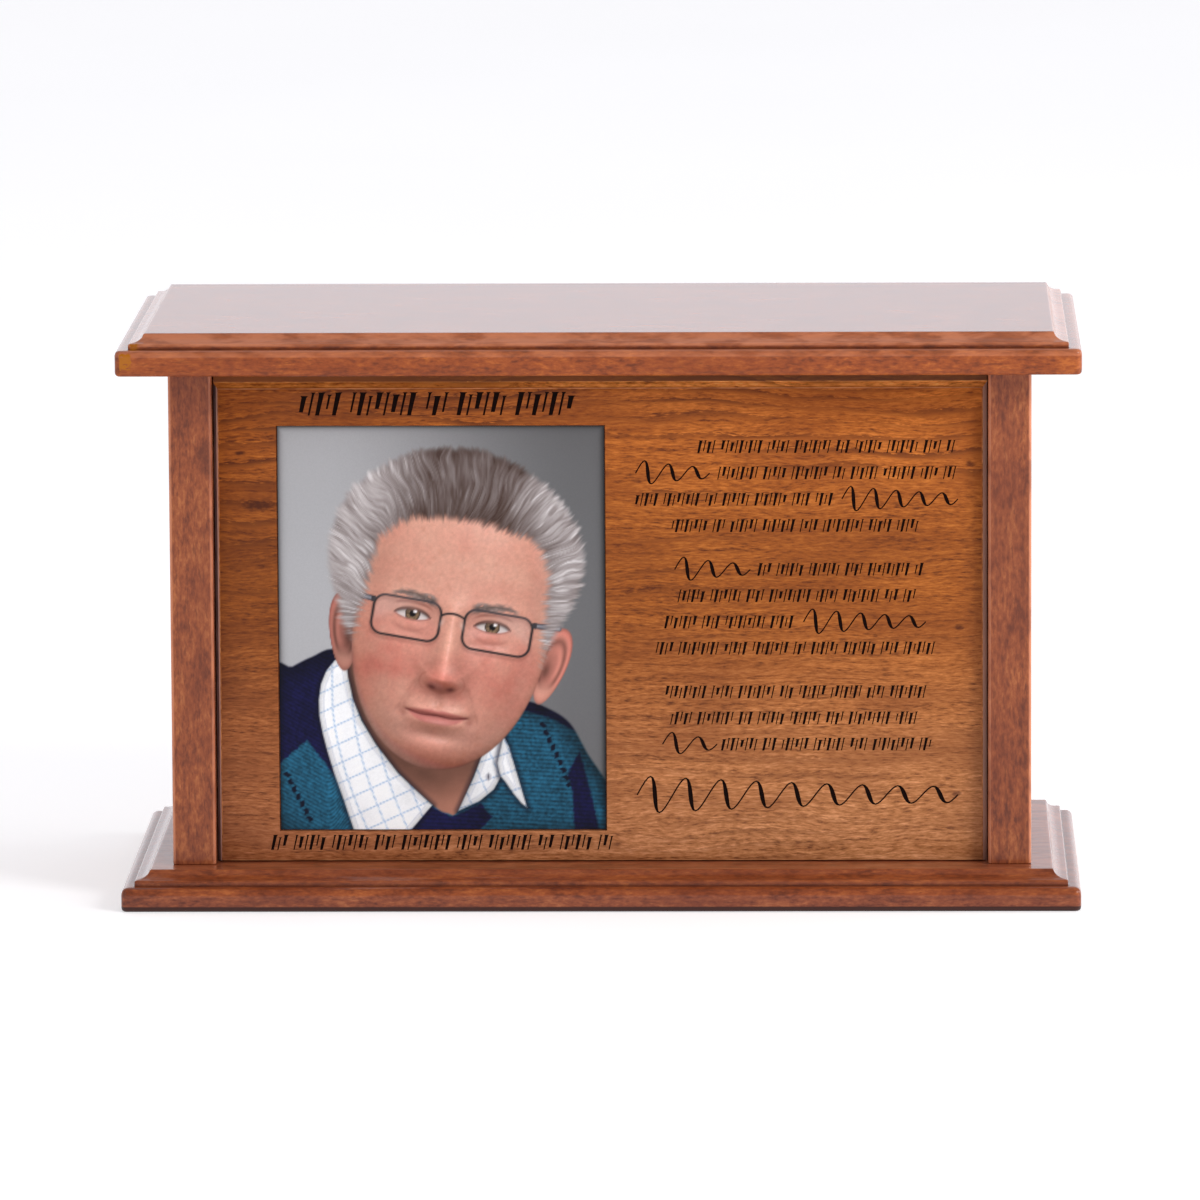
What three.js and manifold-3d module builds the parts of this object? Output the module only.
// Cremation urn box: a base and a lift-off lid with the same moulded edge, two side boards, a back
// board, and a front panel with a bevelled edge, a pocket for a picture and rows of engraved strokes.
// Millimetres, +Z up, the front faces -Y, the origin is at the centre of the underside.
import * as THREE from 'three';
import { mergeGeometries, mergeVertices } from 'three/addons/utils/BufferGeometryUtils.js';
import Module from 'manifold-3d';

const wasm = await Module();
wasm.setup();

// Overall size, over the lips of the lid and the base
const WIDTH = 298;
const DEPTH = 146;
const HEIGHT = 180;

// Boards
const BASE_THICKNESS = 12;
const LID_THICKNESS = 12.5;
const SIDE_OVERHANG = 15.25;
const FRONT_OVERHANG = 17.25;
const SIDE_THICKNESS = 13.5;
const SIDE_EDGE_ROUND = 1;
const BACK_THICKNESS = 12;

// Moulded edge, measured inwards from the lip and down from the board's top
const FLAT_INSET = 8.5;
const FILLET_INSET = 4;
const COVE_DROP = 2.75;
const FILLET_DROP = 1.75;
const LIP_CORNER_ROUND = 2;
const INNER_CORNER_ROUND = 0.25;
const LID_LIP_ROUND = 1;
const BASE_LIP_ROUND = 2.5;
const UNDER_EDGE_ROUND = 0.75;
const ARC_STEPS = 2;

// Step under the lid that drops between the boards and keeps it in place
const LID_STEP_DEPTH = 4;
const LID_STEP_CLEARANCE = 1;

// Front panel, set back between the side boards
const PANEL_RECESS = 5.5;
const PANEL_THICKNESS = 6.5;
const PANEL_SIDE_GAP = 0.25;
const PANEL_TOP_GAP = 0.25;
const PANEL_TOP_RIM = 5;
const PANEL_BEVEL = { depth: 1.75, sides: 1.25, top: 2, bottom: 0.4 };

// Picture print, 4 by 5 inches, and the pocket it lies in
const PRINT_WIDTH = 101.6;
const PRINT_HEIGHT = 127;
const PRINT_THICKNESS = 0.75;
const PRINT_CENTRE_X = -49.5;
const PRINT_CENTRE_Z = 85.5;
const POCKET_GAP = 0.3;
const POCKET_DEPTH = 2;

// Engraved strokes: what STROKE gives is a share of the row's height, and x is across the panel
const STROKE_DEPTH = 0.4;
const OVERCUT = 1;
const STROKE = { width: 0.2, pitch: 0.7, lean: 0.16, raisedFoot: 0.4, loweredHead: 0.7, groupGap: 0.5 };
const STROKE_GROUPS = [4, 2, 6, 3, 5];
const FLOURISH = { lengthPerSwing: 2, stepsPerWave: 6, swells: 1.5, leastSwing: 0.35 };
const ROW_ABOVE_PICTURE = { from: -93, to: -6, baseline: 152.5, height: 7.25, seed: 3 };
const ROW_BELOW_PICTURE = { from: -103, to: 4, baseline: 15.75, height: 4.75, seed: 5 };

// Column of rows beside the picture: each line has a stretch of strokes, and some have a flourish
// before or after it, both given from the middle of the column
const COLUMN_CENTRE_X = 61;
const FIRST_ROW_Z = 140.5;
const ROW_HEIGHT = 4;
const ROW_PITCH = 8.25;
const STANZA_GAP = 5.5;
const LINE_FLOURISH = { swing: 3, width: 0.8 };
const CLOSING_FLOURISH = { from: 11, to: 111, baseline: 33, swing: 4.5, width: 1 };
const COLUMN_LINES = [
  { strokes: [-30.5, 50] },
  { flourish: [-50, -27], strokes: [-24.5, 50] },
  { strokes: [-50, 11], flourish: [14, 50] },
  { strokes: [-39, 39] },
  { flourish: [-38, -14.5], strokes: [-12, 39], newStanza: true },
  { strokes: [-37, 37] },
  { strokes: [-41, -1], flourish: [2, 40] },
  { strokes: [-44, 44] },
  { strokes: [-41, 41], newStanza: true },
  { strokes: [-39.5, 39.5] },
  { flourish: [-42, -25], strokes: [-23.5, 42] },
];

// Derived places
const BODY_HALF_WIDTH = WIDTH / 2 - SIDE_OVERHANG;
const BODY_HALF_DEPTH = DEPTH / 2 - FRONT_OVERHANG;
const BODY_TOP = HEIGHT - LID_THICKNESS;
const BODY_HEIGHT = BODY_TOP - BASE_THICKNESS;
const INNER_HALF_WIDTH = BODY_HALF_WIDTH - SIDE_THICKNESS;
const PANEL_FACE_Y = -BODY_HALF_DEPTH + PANEL_RECESS;
const PANEL_BACK_Y = PANEL_FACE_Y + PANEL_THICKNESS;
const INNER_HALF_DEPTH = -PANEL_BACK_Y;

// Materials
const frameWood = new THREE.MeshStandardMaterial({ color: 0x96502f, roughness: 0.38, metalness: 0 });
const panelWood = new THREE.MeshStandardMaterial({ color: 0x9a5c30, roughness: 0.42, metalness: 0 });
const printCard = new THREE.MeshStandardMaterial({ color: 0x8b9096, roughness: 0.3, metalness: 0 });

// Outline of a rectangle with rounded corners, always with the same number of points
function roundedRectangle(halfWidth, halfDepth, radius) {
  const shape = new THREE.Shape();
  const x = halfWidth - radius;
  const y = halfDepth - radius;
  shape.absarc(x, y, radius, 0, Math.PI / 2, false);
  shape.absarc(-x, y, radius, Math.PI / 2, Math.PI, false);
  shape.absarc(-x, -y, radius, Math.PI, Math.PI * 1.5, false);
  shape.absarc(x, -y, radius, Math.PI * 1.5, Math.PI * 2, false);
  return shape;
}

function plainRectangle(left, right, bottom, top) {
  return new THREE.Shape([
    new THREE.Vector2(left, bottom),
    new THREE.Vector2(right, bottom),
    new THREE.Vector2(right, top),
    new THREE.Vector2(left, top),
  ]);
}

// Closed solid through a stack of level outlines, each { outline, z }, from the lowest to the highest
function loft(levels) {
  const count = levels[0].outline.length;
  const positions = levels.flatMap(({ outline, z }) => outline.flatMap((p) => [p.x, p.y, z]));
  const indices = [];
  for (let level = 0; level < levels.length - 1; level += 1) {
    for (let i = 0; i < count; i += 1) {
      const a = level * count + i;
      const b = level * count + (i + 1) % count;
      indices.push(a, b, b + count, a, b + count, a + count);
    }
  }
  const lastLevel = (levels.length - 1) * count;
  for (const [a, b, c] of THREE.ShapeUtils.triangulateShape(levels[0].outline, [])) {
    indices.push(a, c, b, lastLevel + a, lastLevel + b, lastLevel + c);
  }
  const geometry = new THREE.BufferGeometry();
  geometry.setAttribute('position', new THREE.Float32BufferAttribute(positions, 3));
  geometry.setIndex(indices);
  return geometry;
}

function extrude(shape, length) {
  return new THREE.ExtrudeGeometry(shape, {
    depth: length,
    bevelEnabled: false,
    curveSegments: ARC_STEPS,
  });
}

// A shape drawn in X and Z, with its front at frontY and its back at backY
function standingSlab(shape, frontY, backY) {
  return extrude(shape, backY - frontY).rotateX(Math.PI / 2).translate(0, backY, 0);
}

function toManifold(geometry) {
  const bare = geometry.clone();
  bare.deleteAttribute('normal');
  bare.deleteAttribute('uv');
  const merged = mergeVertices(bare, 1e-5);
  return new wasm.Manifold(new wasm.Mesh({
    numProp: 3,
    vertProperties: new Float32Array(merged.attributes.position.array),
    triVerts: new Uint32Array(merged.index.array),
  }));
}

function toGeometry(manifold) {
  const mesh = manifold.getMesh();
  const geometry = new THREE.BufferGeometry();
  geometry.setAttribute('position', new THREE.Float32BufferAttribute(mesh.vertProperties, 3));
  geometry.setIndex(Array.from(mesh.triVerts));
  return geometry;
}

// Moulded edge from the underside to the top: x is the inset from the lip, y is the height
function mouldedProfile(thickness, lipRound) {
  const filletTop = thickness - COVE_DROP;
  const lipTop = filletTop - FILLET_DROP;
  const quarter = Math.PI / 2;
  const profile = new THREE.Path();
  profile.moveTo(UNDER_EDGE_ROUND, 0);
  profile.absarc(UNDER_EDGE_ROUND, UNDER_EDGE_ROUND, UNDER_EDGE_ROUND, -quarter, -2 * quarter, true);
  profile.absarc(lipRound, lipTop - lipRound, lipRound, 2 * quarter, quarter, true);
  profile.lineTo(FILLET_INSET, lipTop);
  profile.lineTo(FILLET_INSET, filletTop);
  profile.absellipse(FILLET_INSET, thickness, FLAT_INSET - FILLET_INSET, COVE_DROP, -quarter, 0, false);
  return profile.getPoints(ARC_STEPS);
}

// Board with the moulded edge all round, its underside at height floor
function mouldedLevels(floor, thickness, lipRound) {
  return mouldedProfile(thickness, lipRound).map(({ x: inset, y }) => {
    const cornerRound = Math.max(LIP_CORNER_ROUND - inset, INNER_CORNER_ROUND);
    const shape = roundedRectangle(WIDTH / 2 - inset, DEPTH / 2 - inset, cornerRound);
    return { outline: outlineOf(shape), z: floor + y };
  });
}

function outlineOf(shape) {
  return shape.extractPoints(ARC_STEPS).shape;
}

function baseGeometry() {
  return loft(mouldedLevels(0, BASE_THICKNESS, BASE_LIP_ROUND));
}

function lidGeometry() {
  const step = outlineOf(roundedRectangle(
    INNER_HALF_WIDTH - LID_STEP_CLEARANCE,
    INNER_HALF_DEPTH - LID_STEP_CLEARANCE,
    LIP_CORNER_ROUND,
  ));
  return loft([
    { outline: step, z: BODY_TOP - LID_STEP_DEPTH },
    { outline: step, z: BODY_TOP },
    ...mouldedLevels(BODY_TOP, LID_THICKNESS, LID_LIP_ROUND),
  ]);
}

function sideGeometry() {
  const plan = roundedRectangle(SIDE_THICKNESS / 2, BODY_HALF_DEPTH, SIDE_EDGE_ROUND);
  return extrude(plan, BODY_HEIGHT);
}

function backGeometry() {
  const face = plainRectangle(-INNER_HALF_WIDTH, INNER_HALF_WIDTH, 0, BODY_HEIGHT);
  return standingSlab(face, -BACK_THICKNESS / 2, BACK_THICKNESS / 2);
}

// One leaning stroke; the strokes of a row differ in lean, foot and head by turns
function strokeShape(x, baseline, height, turn) {
  const width = height * STROKE.width;
  const lean = turn % 3 === 1 ? -STROKE.lean : STROKE.lean;
  const foot = turn % 4 === 2 ? height * STROKE.raisedFoot : 0;
  const head = turn % 5 === 3 ? height * STROKE.loweredHead : height;
  return new THREE.Shape([
    new THREE.Vector2(x + lean * foot, baseline + foot),
    new THREE.Vector2(x + lean * foot + width, baseline + foot),
    new THREE.Vector2(x + lean * head + width, baseline + head),
    new THREE.Vector2(x + lean * head, baseline + head),
  ]);
}

// Strokes from one x to another, in groups with a wider gap after each
function strokeRow({ from, to, baseline, height, seed }) {
  const pitch = height * STROKE.pitch;
  const shapes = [];
  let x = from;
  let group = seed;
  let leftInGroup = STROKE_GROUPS[group % STROKE_GROUPS.length];
  for (let turn = seed; x + pitch <= to; turn += 1) {
    shapes.push(strokeShape(x, baseline, height, turn));
    x += pitch;
    leftInGroup -= 1;
    if (leftInGroup === 0) {
      x += height * STROKE.groupGap;
      group += 1;
      leftInGroup = STROKE_GROUPS[group % STROKE_GROUPS.length];
    }
  }
  return shapes;
}

// Flourish: a ribbon along a wave whose swing dies away and grows again between its ends
function flourishShape({ from, to, baseline, swing, width }) {
  const waves = Math.round((to - from) / (swing * FLOURISH.lengthPerSwing));
  const steps = waves * FLOURISH.stepsPerWave;
  const centreLine = [];
  for (let i = 0; i <= steps; i += 1) {
    const along = i / steps;
    const fade = Math.abs(Math.cos(along * Math.PI * FLOURISH.swells));
    const share = THREE.MathUtils.lerp(FLOURISH.leastSwing, 1, fade);
    const x = THREE.MathUtils.lerp(from, to, along);
    centreLine.push(new THREE.Vector2(x, baseline + swing * share * Math.sin(along * waves * Math.PI * 2)));
  }
  const upper = [];
  const lower = [];
  centreLine.forEach((point, i) => {
    const before = centreLine[Math.max(i - 1, 0)];
    const after = centreLine[Math.min(i + 1, steps)];
    const along = after.clone().sub(before).normalize();
    const across = new THREE.Vector2(-along.y, along.x).multiplyScalar(width / 2);
    upper.push(point.clone().add(across));
    lower.push(point.clone().sub(across));
  });
  return new THREE.Shape([...lower, ...upper.reverse()]);
}

function columnShapes() {
  const shapes = [];
  let baseline = FIRST_ROW_Z;
  COLUMN_LINES.forEach(({ strokes, flourish, newStanza }, line) => {
    if (line > 0) baseline -= ROW_PITCH;
    if (newStanza) baseline -= STANZA_GAP;
    const [from, to] = strokes.map((x) => COLUMN_CENTRE_X + x);
    shapes.push(...strokeRow({ from, to, baseline, height: ROW_HEIGHT, seed: line + 1 }));
    if (flourish) {
      const [start, end] = flourish.map((x) => COLUMN_CENTRE_X + x);
      const middle = baseline + ROW_HEIGHT / 2;
      shapes.push(flourishShape({ from: start, to: end, baseline: middle, ...LINE_FLOURISH }));
    }
  });
  return shapes;
}

// Panel drawn in place: a plate, a bevelled field before it, less the pocket and the strokes
function panelGeometry() {
  const halfWidth = INNER_HALF_WIDTH - PANEL_SIDE_GAP;
  const plateTop = BODY_TOP - PANEL_TOP_GAP;
  const plateFrontY = PANEL_FACE_Y + PANEL_BEVEL.depth;
  const plate = standingSlab(
    plainRectangle(-halfWidth, halfWidth, BASE_THICKNESS, plateTop),
    plateFrontY,
    PANEL_BACK_Y,
  );
  return toGeometry(
    toManifold(plate)
      .add(toManifold(fieldGeometry(halfWidth, plateTop - PANEL_TOP_RIM, plateFrontY)))
      .subtract(toManifold(pocketGeometry()))
      .subtract(toManifold(engravedGeometry())),
  );
}

// Bevelled field of the panel, lofted flat and then stood up
function fieldGeometry(halfWidth, top, plateFrontY) {
  const foot = plainRectangle(-halfWidth, halfWidth, BASE_THICKNESS, top).getPoints();
  const face = plainRectangle(
    -halfWidth + PANEL_BEVEL.sides,
    halfWidth - PANEL_BEVEL.sides,
    BASE_THICKNESS + PANEL_BEVEL.bottom,
    top - PANEL_BEVEL.top,
  ).getPoints();
  return loft([
    { outline: foot, z: -PANEL_BACK_Y },
    { outline: foot, z: -plateFrontY },
    { outline: face, z: -PANEL_FACE_Y },
  ]).rotateX(Math.PI / 2);
}

function pocketGeometry() {
  const halfWidth = PRINT_WIDTH / 2 + POCKET_GAP;
  const halfHeight = PRINT_HEIGHT / 2 + POCKET_GAP;
  const outline = plainRectangle(
    PRINT_CENTRE_X - halfWidth,
    PRINT_CENTRE_X + halfWidth,
    PRINT_CENTRE_Z - halfHeight,
    PRINT_CENTRE_Z + halfHeight,
  );
  return standingSlab(outline, PANEL_FACE_Y - OVERCUT, PANEL_FACE_Y + POCKET_DEPTH);
}

function engravedGeometry() {
  const shapes = [
    ...columnShapes(),
    ...strokeRow(ROW_ABOVE_PICTURE),
    ...strokeRow(ROW_BELOW_PICTURE),
    flourishShape(CLOSING_FLOURISH),
  ];
  return mergeGeometries(shapes.map((shape) => (
    standingSlab(shape, PANEL_FACE_Y - OVERCUT, PANEL_FACE_Y + STROKE_DEPTH)
  )));
}

function printGeometry() {
  const halfWidth = PRINT_WIDTH / 2;
  const halfHeight = PRINT_HEIGHT / 2;
  return standingSlab(plainRectangle(-halfWidth, halfWidth, -halfHeight, halfHeight), -PRINT_THICKNESS, 0);
}

function addPiece(group, name, geometry, material, place = [0, 0, 0]) {
  const mesh = new THREE.Mesh(geometry, material.clone());
  mesh.name = name;
  mesh.position.set(...place);
  group.add(mesh);
}

const urn = new THREE.Group();
const sideCentreX = BODY_HALF_WIDTH - SIDE_THICKNESS / 2;
const backCentreY = BODY_HALF_DEPTH - BACK_THICKNESS / 2;
const pocketFloorY = PANEL_FACE_Y + POCKET_DEPTH;
addPiece(urn, 'base', baseGeometry(), frameWood);
addPiece(urn, 'side_left', sideGeometry(), frameWood, [-sideCentreX, 0, BASE_THICKNESS]);
addPiece(urn, 'side_right', sideGeometry(), frameWood, [sideCentreX, 0, BASE_THICKNESS]);
addPiece(urn, 'back', backGeometry(), frameWood, [0, backCentreY, BASE_THICKNESS]);
addPiece(urn, 'front_panel', panelGeometry(), panelWood);
addPiece(urn, 'photo_print', printGeometry(), printCard, [PRINT_CENTRE_X, pocketFloorY, PRINT_CENTRE_Z]);
addPiece(urn, 'lid', lidGeometry(), frameWood);

export default urn;
